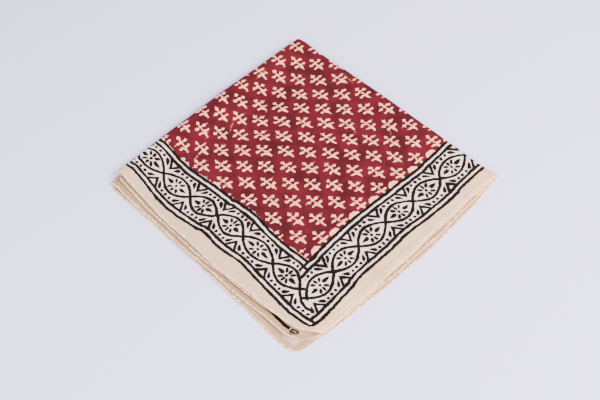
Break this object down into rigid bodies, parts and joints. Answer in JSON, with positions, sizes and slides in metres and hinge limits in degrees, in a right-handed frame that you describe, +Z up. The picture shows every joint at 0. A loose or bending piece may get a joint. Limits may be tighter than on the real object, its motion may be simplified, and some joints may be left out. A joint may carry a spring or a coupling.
{
  "type": "folded ajrakh cloth",
  "caption": "Square block-printed cotton cloth folded twice into a flat quarter, with sprigs on a red ground, a chain border, a plain margin and a narrow hem.",
  "frame": {"origin": "centre of the bounding box, on the underside that rests on the table", "axes": "+Z up through the layers; the first fold runs along the -X side and the second fold along the +Y side; the four free corners lie together at +X, -Y"},
  "size_m": [0.271, 0.273, 0.0108],
  "materials": {
    "printed_cotton": "matte plain-weave cotton, block printed in madder red and black on cream"
  },
  "bodies": {
    "root": {"folded_cloth": "printed_cotton"}
  },
  "joints": []
}
